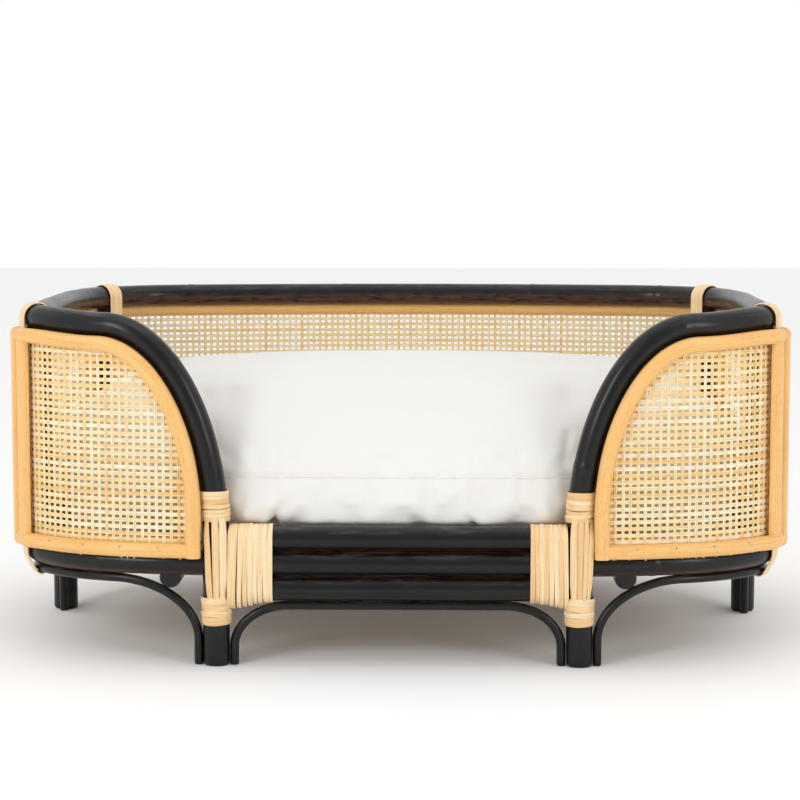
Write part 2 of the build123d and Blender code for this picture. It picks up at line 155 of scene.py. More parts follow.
FRONT_CORNER = turn_length(FRONT_CORNER_TURN)
BACK_CORNER = turn_length(BACK_CORNER_TURN)
SIDE_LEG = length_at("right_side_leg")
BACK_LEG = length_at("right_back_leg")
ARCH_GAP = POST_R + ARCH_R + .0001
SIGNS = {"right": 1, "left": -1}


def sided(side, s):
    """A length on the right half, or its mirror on the left."""
    return s if side == "right" else LOOP - s


def length_of_x(x):
    """Length along the right wing at which the frame line reaches x."""
    s = np.linspace(0, FRONT_CORNER + .01, 3000)
    points, _ = line(s)
    return np.interp(x, points[:, 0], s)


# ---- mesh building --------------------------------------------------------------------------------
class Stock:
    """Gathers lofted shapes into one mesh with UVs in metres and named vertex values."""

    def __init__(self):
        self.verts, self.loops, self.totals, self.uvs = [], [], [], []
        self.values = {"tone": [], "rub": []}
        self.count = 0

    def loft(self, rings, tone=0.5, rub=None, closed=False):
        """Skins rings of points. The tone also shifts the UVs, so that no two lofts share a grain."""
        n, m = rings.shape[:2]
        index = np.arange(n * m).reshape(n, m) + self.count
        around = np.linalg.norm(rings[n // 2] - np.roll(rings[n // 2], 1, 0), axis=1)
        u = np.concatenate([[0], np.cumsum(around[1:]), [around.sum()]]) + 10 * tone
        v = run_lengths(rings.mean(1)) + 7 * tone
        low, high = (index, np.roll(index, -1, 0)) if closed else (index[:-1], index[1:])
        quads = np.stack([low, np.roll(low, -1, 1), np.roll(high, -1, 1), high], -1).reshape(-1, 4)
        after_last = np.append(v, 2 * v[-1] - v[-2])
        u0, v0 = np.meshgrid(u[:-1], after_last[:len(low)])
        u1, v1 = np.meshgrid(u[1:], after_last[1:len(low) + 1])
        self.verts.append(rings.reshape(-1, 3))
        self.loops.append(quads.reshape(-1))
        self.totals.append(np.full(len(quads), 4))
        self.uvs.append(np.stack([u0, v0, u1, v0, u1, v1, u0, v1], -1).reshape(-1, 2))
        if not closed:
            for ring, at in ((index[0][::-1], v[0]), (index[-1], v[-1])):
                self.loops.append(ring)
                self.totals.append(np.array([m]))
                self.uvs.append(np.stack([u[:-1], np.full(m, at)], -1))
        self.values["tone"].append(np.full(n * m, tone))
        self.values["rub"].append(np.zeros(n * m) if rub is None else rub.reshape(-1))
        self.count += n * m

    def piece(self, name, material, slot, *nodes, body="frame"):
        mesh = bpy.data.meshes.new(name)
        verts, loops = np.concatenate(self.verts), np.concatenate(self.loops)
        totals = np.concatenate(self.totals)
        mesh.vertices.add(len(verts))
        mesh.vertices.foreach_set("co", verts.astype(np.float32).reshape(-1))
        mesh.loops.add(len(loops))
        mesh.loops.foreach_set("vertex_index", loops.astype(np.int32))
        mesh.polygons.add(len(totals))
        starts = np.concatenate([[0], np.cumsum(totals)[:-1]]).astype(np.int32)
        mesh.polygons.foreach_set("loop_start", starts)
        layer = mesh.uv_layers.new(name="UVMap")
        layer.data.foreach_set("uv", np.concatenate(self.uvs).astype(np.float32).reshape(-1))
        for key, value in self.values.items():
            attribute = mesh.attributes.new(key, "FLOAT", "POINT")
            attribute.data.foreach_set("value", np.concatenate(value).astype(np.float32))
        mesh.update(calc_edges=True)
        mesh.validate()
        work = bmesh.new()
        work.from_mesh(mesh)
        bmesh.ops.recalc_face_normals(work, faces=work.faces)
        work.to_mesh(mesh)
        work.free()
        return put(mesh, name, material, slot, *nodes, body=body)


def put(mesh, name, material, slot, *nodes, body="frame"):
    """Links a finished mesh as a piece of the bed."""
    obj = bpy.data.objects.new(name, mesh)
    bpy.context.scene.collection.objects.link(obj)
    mesh.materials.append(material)
    mesh.shade_smooth()
    mesh.set_sharp_from_angle(angle=math.radians(SHARP_ANGLE))
    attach(obj, body)
    if nodes:
        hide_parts(*nodes)
    return obj


def steps(a, b, pitch):
    """Evenly spaced values from a to b, about a pitch apart."""
    return np.linspace(a, b, max(2, int(round(abs(b - a) / pitch)) + 1))


def run_lengths(points):
    """Length along a line of points up to each of them."""
    return np.concatenate([[0], np.cumsum(np.linalg.norm(np.diff(points, axis=0), axis=1))])


def evened(step, pitch, *lines):
    """Lines of points, spaced by their lengths in step, taken again at an even pitch."""
    even = np.arange(0, step[-1], pitch)
    return even, *(np.stack([np.interp(even, step, points[:, i]) for i in range(3)], -1) for points in lines)


def bell(off, width):
    """1 where off is nought, fading to nothing over about twice the width."""
    return np.exp(-(off / width) ** 2)


def eased(share):
    """0 to 1 with level ends."""
    return share * share * (3 - 2 * share)


def tangents(points, closed=False):
    """Unit directions along a line of points."""
    if closed:
        t = np.roll(points, -1, 0) - np.roll(points, 1, 0)
    else:
        t = np.gradient(points, axis=0)
    return t / np.linalg.norm(t, axis=1, keepdims=True)


def wave(v, scale, seed):
    """Smooth noise along a length, about -1 to 1."""
    draw = np.random.default_rng(seed)
    total = 0
    for k in range(1, 5):
        total = total + draw.uniform(-1, 1) / k * np.sin(k * v / scale + draw.uniform(0, 6.28))
    return total / 1.6


# ---- sections -------------------------------------------------------------------------------------
def half_round(width, thick, count=9):
    """A half-round batten section: flat below, crowned above."""
    a = np.linspace(0, np.pi, count)
    top = np.stack([np.cos(a) * width / 2, thick * (.18 + .82 * np.sin(a) ** .75)], -1)
    base = np.array([[-.47, 0], [0, 0], [.47, 0]]) * [width, 1]
    return np.concatenate([top, base])


def ribbon(width, thick):
    """A flat peel section with a crowned face and rounded edges."""
    x = np.array([.5, .46, .25, 0, -.25, -.46, -.5, -.3, 0, .3])
    y = np.array([.35, .72, .95, 1, .95, .72, .35, 0, 0, 0])
    return np.stack([x * width, y * thick], -1)


def sweep_section(stock, points, normals, section, tone=.5, closed=False, scale=None):
    """Lofts a section along points; its y follows normals and its x lies across."""
    t = tangents(points, closed)
    side = np.cross(t, normals)
    side /= np.linalg.norm(side, axis=1, keepdims=True)
    up = np.cross(side, t)
    grown = np.ones((len(points), 1, 1)) if scale is None else np.asarray(scale)[:, None, None]
    x, y = section[:, 0][None, :, None], section[:, 1][None, :, None]
    rings = points[:, None] + side[:, None] * x * grown + up[:, None] * y * grown
    stock.loft(rings, tone, closed=closed)


def pole(stock, points, radius, seed, sides=28, rub=None, swell=.028):
    """A rattan pole: round, slightly uneven, with the low rings of its growth nodes."""
    t = tangents(points)
    side = np.cross(t[0], [0.0, 0, 1] if abs(t[0][2]) < .9 else [1.0, 0, 0])
    sides_at = []
    for direction in t:
        side = side - direction * side.dot(direction)
        side /= np.linalg.norm(side)
        sides_at.append(side)
    a = np.array(sides_at)
    b = np.cross(t, a)
    v = run_lengths(points)
    draw = np.random.default_rng(seed)
    grown = 1 + .012 * wave(v, .03, seed)
    at = draw.uniform(.03, .12)
    while at < v[-1]:
        grown = grown + swell * bell(v - at, .0035) - .02 * bell(v - at - .0045, .0012)
        at += draw.uniform(.13, .24)
    grown = grown * (1 - .10 * bell(np.minimum(v, v[-1] - v), .0012))
    angles = np.linspace(0, 2 * np.pi, sides, endpoint=False)
    lump = 1 + .012 * np.sin(2 * angles + draw.uniform(0, 6))
    lump = lump + .006 * np.sin(3 * angles + draw.uniform(0, 6))
    r = radius * grown[:, None] * lump[None]
    rings = points[:, None] + a[:, None] * (np.cos(angles)[None] * r)[..., None] \
        + b[:, None] * (np.sin(angles)[None] * r)[..., None]
    worn = None
    if rub is not None:
        away = rings - points[:, None]
        away /= np.linalg.norm(away, axis=2, keepdims=True)
        worn = rub(points, away)
    stock.loft(rings, draw.uniform(0, 1), worn)


# ---- materials ------------------------------------------------------------------------------------
class Nodes:
    """A few words for building node trees."""

    def __init__(self, name):
        self.material = bpy.data.materials.new(name)
        self.material.use_nodes = True
        self.tree = self.material.node_tree
        self.shader = self.tree.nodes["Principled BSDF"]

    def add(self, kind, inputs=(), **settings):
        node = self.tree.nodes.new(kind)
        for key, value in settings.items():
            setattr(node, key, value)
        for key, value in dict(inputs).items():
            if isinstance(value, bpy.types.NodeSocket):
                self.tree.links.new(value, node.inputs[key])
            else:
                node.inputs[key].default_value = value
        return node

    def noise(self, vector, scale, detail=3.0, rough=.55, distort=0.0):
        found = self.add("ShaderNodeTexNoise", {
            "Vector": vector, "Scale": scale, "Detail": detail, "Roughness": rough, "Distortion": distort})
        return found.outputs["Fac"]

    def stretch(self, vector, scale):
        return self.add("ShaderNodeMapping", {"Vector": vector, "Scale": scale}).outputs[0]

    def fibres(self, vector, scale, detail, rough):
        """Noise drawn out along a grain."""
        return self.noise(self.stretch(vector, scale), 1, detail, rough)

    def mask(self, value, low, high, at_low=0, at_high=1):
        """Grey that runs from one level to another between two values."""
        return self.ramp(value, (low, (at_low,) * 3), (high, (at_high,) * 3))

    def ramp(self, value, *stops):
        node = self.add("ShaderNodeValToRGB", {"Fac": value})
        elements = node.color_ramp.elements
        while len(elements) < len(stops):
            elements.new(.5)
        for element, (place, colour) in zip(elements, stops):
            element.position = place
            element.color = (*colour, 1) if len(colour) == 3 else colour
        return node.outputs["Color"]

    def mix(self, factor, a, b, blend="MIX"):
        node = self.add("ShaderNodeMix", data_type="RGBA", blend_type=blend)
        for socket, value in ((node.inputs[0], factor), (node.inputs[6], a), (node.inputs[7], b)):
            if isinstance(value, bpy.types.NodeSocket):
                self.tree.links.new(value, socket)
            else:
                socket.default_value = (*value, 1) if isinstance(value, tuple) else value
        return node.outputs[2]

    def math(self, operation, a, b=0.0, c=0.0, clamp=False):
        node = self.add("ShaderNodeMath", {0: a, 1: b, 2: c}, operation=operation)
        node.use_clamp = clamp
        return node.outputs[0]

    def value(self, name):
        return self.add("ShaderNodeAttribute", attribute_name=name).outputs["Fac"]

    def uv(self):
        return self.add("ShaderNodeTexCoord").outputs["UV"]

    def place(self):
        return self.add("ShaderNodeTexCoord").outputs["Object"]

    def bump(self, height, strength, distance, under=None):
        inputs = {"Height": height, "Strength": strength, "Distance": distance}
        if under is not None:
            inputs["Normal"] = under
        return self.add("ShaderNodeBump", inputs).outputs[0]

    def finish(self, colour, rough, normal, **plain):
        for key, value in (("Base Color", colour), ("Roughness", rough), ("Normal", normal)):
            self.tree.links.new(value, self.shader.inputs[key])
        for key, value in plain.items():
            self.shader.inputs[key.replace("_", " ")].default_value = value
        return self.material


def black_paint():
    """Satin black paint on rattan: long ridges, grey on upward faces that is partly dry scuffs and partly
    painted sheen of the overhead light, brown where poles rub.
    """
    n = Nodes("black_painted_rattan")
    uv, place = n.uv(), n.place()
    ridges = n.fibres(uv, (520, 16, 1), 4, .6)
    fine = n.fibres(uv, (1600, 60, 1), 2, .5)
    cloud = n.noise(place, 22, 4, .6)
    cloudy = n.mask(cloud, .35, .7)
    base = n.mix(cloudy, (.0022, .0022, .0022), (.006, .0059, .0058))
    # Upward faces turn grey in patches: partly dry scuffs of the paint, partly a painted sheen of the
    # overhead light.
    up = n.add("ShaderNodeSeparateXYZ", {0: n.add("ShaderNodeNewGeometry").outputs["Normal"]}).outputs[2]
    facing = n.math("SMOOTH_MIN", n.math("MULTIPLY", n.math("SUBTRACT", up, .35, clamp=True), 1.6), 1, .1)
    patches = n.mask(n.fibres(uv, (150, 24, 1), 5, .7), .50, .66)
    scuff_and_sheen = n.math("MULTIPLY", n.math("MULTIPLY", facing, patches), .55)
    colour = n.mix(scuff_and_sheen, base, (.12, .12, .122))
    rub_noise = n.mask(n.fibres(uv, (300, 60, 1), 3, .6), .36, .56)
    rub = n.math("MULTIPLY", n.value("rub"), rub_noise, clamp=True)
    colour = n.mix(rub, colour, (.13, .055, .026))
    rough = n.math("ADD", n.math("MULTIPLY", ridges, .22), n.math("ADD", n.math("MULTIPLY", scuff_and_sheen, .3), .24))
    normal = n.bump(ridges, .55, .0006, n.bump(fine, .25, .0002))
    return n.finish(colour, rough, normal, Coat_Weight=.3, Coat_Roughness=.2, Specular_IOR_Level=.2)


def batten_wood():
    """Split rattan batten: warm orange tan, straight pores along its length, darker in its hollows."""
    n = Nodes("split_rattan_batten")
    uv, place = n.uv(), n.place()
    grain = n.fibres(uv, (900, 14, 1), 4, .65)
    pores = n.fibres(uv, (2600, 120, 1), 2, .5)
    cloud = n.noise(place, 16, 3, .6)
    colour = n.ramp(grain, (.28, (.74, .37, .10)), (.5, (.88, .51, .165)), (.74, (.94, .62, .26)))
    colour = n.mix(n.math("MULTIPLY", cloud, .45), colour, (.80, .44, .15))
    colour = n.mix(n.mask(pores, .30, .42, .55, 0), colour, (.45, .22, .07))
    specks = n.mask(n.noise(place, 260, 2, .5), .74, .80, 0, .7)
    colour = n.mix(specks, colour, (.40, .17, .05))
    rough = n.math("ADD", n.math("MULTIPLY", grain, .2), .34)
    normal = n.bump(grain, .35, .0004, n.bump(pores, .4, .00015))
    return n.finish(colour, rough, normal, Coat_Weight=.12, Coat_Roughness=.3, Specular_IOR_Level=.45)


def woven_cane():
    """Pale cane strands, each its own shade, with long fibres."""
    n = Nodes("woven_cane")
    uv = n.uv()
    grain = n.fibres(uv, (1800, 30, 1), 3, .6)
    colour = n.ramp(n.value("tone"), (0, (.90, .58, .20)), (.25, (.96, .73, .35)),
                    (.6, (.98, .83, .50)), (1, (.99, .92, .70)))
    colour = n.mix(n.mask(grain, .32, .56, .7, 0), colour, (.62, .36, .13))
    rough = n.math("ADD", n.math("MULTIPLY", grain, .25), .40)
    normal = n.bump(grain, .4, .0002)
    return n.finish(colour, rough, normal, Coat_Weight=.08, Coat_Roughness=.35, Specular_IOR_Level=.4)


def rattan_peel():
    """Glossier pale peel: fine long fibres, each strip its own shade, a few brown flecks."""
    n = Nodes("rattan_peel")
    uv, place = n.uv(), n.place()
    grain = n.fibres(uv, (1300, 16, 1), 4, .65)
    fine = n.fibres(uv, (4200, 90, 1), 2, .5)
    colour = n.ramp(n.value("tone"), (0, (.76, .44, .18)), (.35, (.87, .60, .30)),
                    (.7, (.92, .69, .39)), (1, (.95, .77, .50)))
    colour = n.mix(n.mask(grain, .30, .55, .75, 0), colour, (.58, .34, .14))
    flecks = n.mask(n.noise(place, 150, 3, .6), .70, .78, 0, .8)
    colour = n.mix(flecks, colour, (.46, .22, .08))
    rough = n.math("ADD", n.math("MULTIPLY", grain, .2), .28)
    normal = n.bump(grain, .5, .0003, n.bump(fine, .3, .0001))
    return n.finish(colour, rough, normal, Coat_Weight=.2, Coat_Roughness=.25, Specular_IOR_Level=.5)


def canvas():
    """Off-white cotton canvas: a fine plain weave, with soft uneven shading."""
    n = Nodes("cotton_canvas")
    place = n.place()
    threads = [n.add("ShaderNodeTexWave", {"Vector": place, "Scale": 330, "Distortion": .6, "Detail": 1,
                                           "Detail Scale": 2}, bands_direction=axis).outputs["Fac"]
               for axis in ("X", "Z", "Y")]
    weave = n.math("MULTIPLY", n.math("MULTIPLY", threads[0], threads[1]), threads[2])
    slub = n.fibres(place, (60, 60, 500), 2, .5)
    cloud = n.noise(place, 9, 3, .5)
    colour = n.mix(n.math("MULTIPLY", cloud, .6), (.80, .782, .747), (.84, .825, .795))
    colour = n.mix(n.math("MULTIPLY", slub, .12), colour, (.76, .73, .68))
    rough = n.math("ADD", n.math("MULTIPLY", weave, .1), .82)
    normal = n.bump(weave, .30, .0003, n.bump(slub, .2, .0002))
    return n.finish(colour, rough, normal, Sheen_Weight=.15, Sheen_Roughness=.5, Specular_IOR_Level=.2)


def bare_wood():
    """Unfinished slat wood with its grain along the slats."""
    n = Nodes("bare_slat_wood")
    place = n.place()
    grain = n.fibres(place, (9, 160, 160), 4, .6)
    colour = n.ramp(grain, (.3, (.50, .34, .19)), (.7, (.72, .54, .34)))
    return n.finish(colour, n.math("ADD", n.math("MULTIPLY", grain, .2), .55), n.bump(grain, .4, .0004))


def steel():
    """Dull steel of nails and screws."""
    n = Nodes("plain_steel")
    place = n.place()
    marks = n.noise(place, 900, 3, .6)
    colour = n.ramp(marks, (.3, (.30, .29, .27)), (.7, (.50, .48, .45)))
    rough = n.math("ADD", n.math("MULTIPLY", marks, .25), .25)
    return n.finish(colour, rough, n.bump(marks, .2, .00005), Metallic=1.0)


BLACK, BATTEN, CANE, PEEL, CANVAS, WOOD, STEEL = (
    make() for make in (black_paint, batten_wood, woven_cane, rattan_peel, canvas, bare_wood, steel))


# ---- poles ----------------------------------------------------------------------------------------
def arm_path():
    """The right arm pole's centre line: foot, post, quarter ellipse and level end, in front view."""
    foot = np.stack([np.full(60, POST_X), np.linspace(0, ARM_SPRING_Z, 60, endpoint=False)], -1)
    a = np.radians(np.linspace(0, 90, 90))
    middle = POST_X + ARM_REACH
    bend = np.stack([middle - ARM_REACH * np.cos(a), ARM_SPRING_Z + ARM_RISE * np.sin(a)], -1)
    end_x = line(FRONT_CORNER)[0][0]
    level = ARM_SPRING_Z + ARM_RISE
    x = np.linspace(middle, end_x, 40)[1:]
    share = (x - middle) / (end_x - middle)
    rise = level + (TOP_Z - level) * eased(share)
    view = np.concatenate([foot, bend, np.stack([x, rise], -1)])
    points, _ = line(length_of_x(view[:, 0]), view[:, 1])
    points[:60, :2] = POST_X, FRONT_Y
    return evened(run_lengths(points), POLE_STEP, points)[1]


def arm_lean(z):
    """How far the arm's centre line has bent outward from its post at height z."""
    share = np.clip((z - ARM_SPRING_Z) / ARM_RISE, 0, 1)
    return ARM_REACH * (1 - np.sqrt(1 - share ** 2))


def mirror_x(points, side):
    """Points of the right half, or their mirror on the left."""
    return points * [SIGNS[side], 1, 1]


def rub_below(strength, width=.35, up=-1.0):
    """Brown where a neighbour touches from below (or above), along the whole pole."""
    def value(points, away):
        return strength * bell(away[..., 2] - up, width)
    return value


def rub_inside(points, away):
    """Brown worn underside on the inner face of a top rail."""
    inward = -points[:, None] * [1, 1, 0]
    inward = inward / np.linalg.norm(inward, axis=2, keepdims=True)
    return np.clip((away * inward).sum(2), 0, 1) * np.clip(-away[..., 2] + .35, 0, 1) * .9


def single_pole(name, points, radius, seed, node, rub=None, **more):
    """One black pole as a piece of its own."""
    stock = Stock()
    pole(stock, points, radius, seed, rub=rub, **more)
    return stock.piece(name, BLACK, "black_rattan", node)


def rails():
    """Every rail, arm, leg and corner post."""
    for i, name in enumerate(("bottom", "middle", "top")):
        x = np.arange(-POST_X + POST_R * .8, POST_X - POST_R * .8, POLE_STEP)
        points = np.stack([x, np.full(len(x), FRONT_Y), np.full(len(x), RAIL_ZS[i])], -1)

        def rub(points, away, i=i):
            return .8 * (bell(away[..., 2] + .90, .07) * (i > 0) + bell(away[..., 2] - .97, .04) * (i < 2))
        single_pole(f"front_rail_{name}_pole", points, RAIL_R, 10 + i, f"front_rail_{name}", rub, swell=.012)
    over_arches = rub_below(1.2, .22, -.95)
    runs = (
        ("wing_seat_rail", POST_R * .7, FRONT_CORNER, RING_Z, over_arches),
        ("side_seat_rail", FRONT_CORNER, BACK_CORNER, RING_Z, over_arches),
        ("side_top_rail", FRONT_CORNER, BACK_CORNER, TOP_Z, rub_inside),
    )
    for side in ("right", "left"):
        seed = 20 if side == "right" else 40
        for k, (name, s0, s1, z, rub) in enumerate(runs):
            points, _ = line(sided(side, steps(s0, s1, POLE_STEP)), z)
            single_pole(f"{side}_{name}_pole", points, RAIL_R, seed + k, f"{side}_{name}", rub)
        single_pole(f"{side}_arm_pole", mirror_x(arm_path(), side), POST_R, seed + 5, f"{side}_arm_post")
        for k, (name, s) in enumerate((("side_leg", SIDE_LEG), ("back_leg", BACK_LEG))):
            z = np.arange(0, RING_Z - RAIL_R * .6, POLE_STEP)
            points, _ = line(np.full(len(z), sided(side, s)), z)
            single_pole(f"{side}_{name}_pole", points, POST_R, seed + 7 + k, f"{side}_{name}")
        for k, (name, s) in enumerate((("front_corner", FRONT_CORNER), ("back_corner", BACK_CORNER))):
            z = np.arange(RING_Z + RAIL_R * .5, TOP_Z - RAIL_R * .5, POLE_STEP)
            points, _ = line(np.full(len(z), sided(side, s)), z)
            single_pole(f"{side}_{name}_post_pole", points, CORNER_R * .97, seed + 10 + k,
                        f"{side}_{name}_post")
    for name, z, rub in (("back_seat_rail", RING_Z, over_arches), ("back_top_rail", TOP_Z, rub_inside)):
        points, _ = line(steps(BACK_CORNER, LOOP - BACK_CORNER, POLE_STEP), z)
        single_pole(f"{name}_pole", points, RAIL_R, 70 + len(name), name, rub)


def arch_end(reach, foot_z, top_z):
    """Run along from the leg, and height, up one end of an arch."""
    z = np.linspace(0, foot_z, 12, endpoint=False)
    a = np.radians(np.linspace(0, 90, 50))
    run = np.concatenate([0 * z, reach * (1 - np.cos(a))])
    return run, np.concatenate([z, foot_z + (top_z - foot_z) * np.sin(a)])


def arch_line(s0, s1, reach, foot_z=.022, top_z=ARCH_Z):
    """A whole arch between two legs: lengths along its wall, and heights."""
    run, z = arch_end(reach, foot_z, top_z)
    middle = steps(s0 + reach, s1 - reach, .003)[1:-1]
    s = np.concatenate([s0 + run, middle, (s1 - run)[::-1]])
    return s, np.concatenate([z, np.full(len(middle), top_z), z[::-1]])


def arches():
    """The thin bent poles that brace the legs."""
    def arch(node, points, seed):
        single_pole(f"{node}_pole", points, ARCH_R, seed, node, rub_below(.8, .12, 1.0), sides=16, swell=.02)

    inside = POST_X - ARCH_GAP
    x, z = arch_line(-inside, inside, .048, .016, FRONT_ARCH_Z)
    arch("front_arch", np.stack([x, np.full(len(x), FRONT_Y), z], -1), 3)
    for side in ("right", "left"):
        for name, s0, s1 in (("wing_arch", ARCH_GAP, SIDE_LEG - ARCH_GAP),
                             ("rear_arch", SIDE_LEG + ARCH_GAP, BACK_LEG - ARCH_GAP)):
            s, z = arch_line(s0, s1, .075)
            arch(f"{side}_{name}", line(sided(side, s), z)[0], 5 + len(side + name))
    s, z = arch_line(BACK_LEG + ARCH_GAP, LOOP - BACK_LEG - ARCH_GAP, .060)
    arch("back_arch", line(s, z)[0], 4)


def seat_base():
    """The two bearers that carry the slats."""
    stock = Stock()
    low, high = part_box("seat_bearers")
    radius = (high.z - low.z) / 2
    for x in (low.x + radius, high.x - radius):
        y = np.arange(low.y + .001, high.y - .001, .003)
        points = np.stack([np.full(len(y), x), y, np.full(len(y), low.z + radius)], -1)
        pole(stock, points, radius, 90 + int(x > 0))
    stock.piece("seat_bearer_poles", BLACK, "black_rattan", "seat_bearers")


# ---- cane panels ----------------------------------------------------------------------------------
def arm_edge(x, gap):
    """Height of the arm's underside line, this far inside its centre line, seen from the front."""
    x = np.abs(x)
    middle = POST_X + ARM_REACH
    inside = np.clip((middle - x) / (ARM_REACH - gap), 0, 1)
    bend = ARM_SPRING_Z + (ARM_RISE - gap) * np.sqrt(1 - inside ** 2)
    end_x = line(FRONT_CORNER)[0][0]
    share = np.clip((x - middle) / (end_x - middle), 0, 1)
    level = ARM_SPRING_Z + ARM_RISE
    flat = level + (TOP_Z - level) * eased(share) - gap
    return np.where(x < middle, np.where(x < POST_X + gap, 0, bend), flat)


def web(name, s0, s1, node, under_arm=False, joined=(False, False)):
    """A sheet of open square weave, over one and under one; a joined end meets the next sheet."""
    stock = Stock()
    across = np.arange(s0 + PITCH_ACROSS * .4, s1, PITCH_ACROSS)
    across = across + rng.normal(0, .16 * MM, len(across))
    up = np.arange(PANEL_LOW + 3 * MM, PANEL_HIGH, PITCH_UP)
    up = up + rng.normal(0, .13 * MM, len(up))
    section = np.array([[.5, -.25], [.35, .5], [-.35, .5], [-.5, -.25], [0, -.5]])
    standing, lying = section * [STANDING_W, STRAND_T], section * [LYING_W, STRAND_T]
    middle_out = (CANE_IN + CANE_FACE) / 2
    x_of = line(across)[0][:, 0]
    top = np.full(len(across), PANEL_HIGH + 1.5 * MM)
    if under_arm:
        top = np.minimum(top, arm_edge(x_of, POST_R + .5 * MM))

    def fill(at):
        return np.sort(np.concatenate([at, (at[1:] + at[:-1]) / 2]))

    for i, s in enumerate(across):
        rows = up[up < top[i] - 2 * MM]
        if len(rows) < 2:
            continue
        z = fill(rows)
        over = np.zeros(len(z))
        over[::2] = np.where((np.arange(len(rows)) + i) % 2 == 0, 1, -1)
        base = rng.uniform(.15, .95)
        for pair in (-1, 1):
            low = PANEL_LOW - abs(rng.normal(0, 1.1 * MM)) + .6 * MM
            high = top[i] + (abs(rng.normal(0, 1.3 * MM)) - .8 * MM if under_arm else 0)
            zz = np.concatenate([[low], z, [max(high, z[-1] + 1 * MM)]])
            oo = np.concatenate([[over[0]], over, [over[-1]]]) * WEAVE
            wander = wave(zz, .012, i * 7 + pair + 1) * .10 * MM
            beside = s + pair * STANDING_W / 2
            points, normals = line(np.full(len(zz), beside) + wander, zz, middle_out + oo)
            sweep_section(stock, points, normals, standing, float(np.clip(base + rng.normal(0, .12), 0, 1)))
    for j, z in enumerate(up):
        inside = top > z + 2 * MM
        if inside.sum() < 3:
            continue
        where = np.flatnonzero(inside)
        s = fill(across[where])
        over = np.zeros(len(s))
        over[::2] = np.where((where + j) % 2 == 0, -1, 1)
        base = rng.uniform(.15, .95)
        for pair in (-1, 1):
            ends = np.where(joined, PITCH_ACROSS * .52, rng.uniform(1.5 * MM, 4.5 * MM, 2))
            ss = np.concatenate([[s[0] - ends[0]], s, [s[-1] + ends[1]]])
            oo = np.concatenate([[over[0]], over, [over[-1]]]) * WEAVE
            wander = wave(ss, .012, j * 5 + pair + 900) * .10 * MM
            points, normals = line(ss, z + pair * LYING_W / 2 + wander, middle_out + oo)
            sweep_section(stock, points, normals, lying, float(np.clip(base + rng.normal(0, .12), 0, 1)))
    return stock.piece(name, CANE, "cane_webbing", node)


def webs():
    """The cane of every panel; the back's is made in three sheets that meet."""
    for side in ("right", "left"):
        near, far = POST_R + 2 * MM, FRONT_CORNER - .5 * MM
        ends = sorted((sided(side, near), sided(side, far)))
        web(f"{side}_wing_web", *ends, f"{side}_wing_cane", under_arm=True)
        ends = sorted((sided(side, FRONT_CORNER + .5 * MM), sided(side, BACK_CORNER - .5 * MM)))
        web(f"{side}_side_web", *ends, f"{side}_side_cane")
    first, last = BACK_CORNER + .5 * MM, LOOP - BACK_CORNER - .5 * MM
    third = PITCH_ACROSS * round((last - first) / 3 / PITCH_ACROSS)
    web("back_web_right", first, first + third, "back_cane", joined=(False, True))
    web("back_web_middle", first + third, first + 2 * third, "back_cane", joined=(True, True))
    web("back_web_left", first + 2 * third, last, "back_cane", joined=(True, False))


# ---- battens --------------------------------------------------------------------------------------
def over_strap(s):
    """How far battens rise from the panel to pass over the straps, at lengths s."""
    corners = (FRONT_CORNER, BACK_CORNER, LOOP - BACK_CORNER, LOOP - FRONT_CORNER)
    near = np.min([np.abs(s - corner) for corner in corners], axis=0)
    return STRAP_RISE * eased(np.clip((.030 - near) / .016, 0, 1))


def level_batten(stock, s0, s1, z, out, width, thick, facing=1):
    """A batten along the wall; facing is -1 on the inside of the cane."""
    s = steps(s0, s1, BATTEN_STEP)
    points, normals = line(s, z, out + (over_strap(s) if facing > 0 else 0))
    bow = 1 + .03 * wave(np.linspace(0, abs(s1 - s0), len(points)), .02, int(z * 1e4))
    sweep_section(stock, points, normals * facing, half_round(width, thick), rng.uniform(.2, .8), scale=bow)


def upright_batten(stock, s, z0, z1, out, width, thick, facing=1):
    """A batten up the wall, its ends slightly rounded."""
    z = steps(z0, z1, BATTEN_STEP)
    rise = over_strap(np.array([s]))[0] if facing > 0 else 0
    points, normals = line(np.full(len(z), s), z, out + rise)
    bow = 1 + .03 * wave(z, .02, int(abs(s) * 1e4))
    bow = bow * (1 - .3 * bell(np.minimum(z - z0, z1 - z), .0015))
    sweep_section(stock, points, normals * facing, half_round(width, thick), rng.uniform(.2, .8), scale=bow)


def arm_batten(stock, side, low, out, width, thick, gap, end_s, facing=1):
    """One batten bent along the arm: up its post, round its curve and level to the corner.

    gap holds how far it stays from the arm's centre line, at the post and along the curve.
    """
    inset = gap[1] + width / 2
    middle = POST_X + ARM_REACH
    z = np.linspace(low, ARM_SPRING_Z, 30, endpoint=False)
    a = np.radians(np.linspace(0, 90, 60))
    end_x = line(end_s)[0][0]
    x = np.linspace(middle, end_x, 30)[1:]
    reach, rise = ARM_REACH - inset, ARM_RISE - inset
    bend = np.stack([middle - reach * np.cos(a), ARM_SPRING_Z + rise * np.sin(a)], -1)
    bend[:, 0] += (gap[0] - gap[1]) * np.clip(1 - a / .6, 0, 1) ** 2
    view = np.concatenate([
        np.stack([np.full(30, bend[0, 0]), z], -1),
        bend,
        np.stack([x, arm_edge(x, inset)], -1)])
    s = length_of_x(view[:, 0])
    points, normals = line(s, view[:, 1], out + (over_strap(s) if facing > 0 else 0))
    # the batten keeps its front-view place: outward moves on a curved wall shift x a little
    points[:, 0] += (view[:, 0] - line(s)[0][:, 0])
    step = run_lengths(points)
    even, points, normals = evened(step, BATTEN_STEP, points, normals)
    rounded = np.clip((step[-1] - even) / (width * .55), 0, 1)
    scale = .35 + .65 * np.sqrt(1 - (1 - rounded) ** 2)
    points, normals = mirror_x(points, side), mirror_x(normals, side)
    sweep_section(stock, points, normals * facing, half_round(width, thick), rng.uniform(.2, .8), scale=scale)


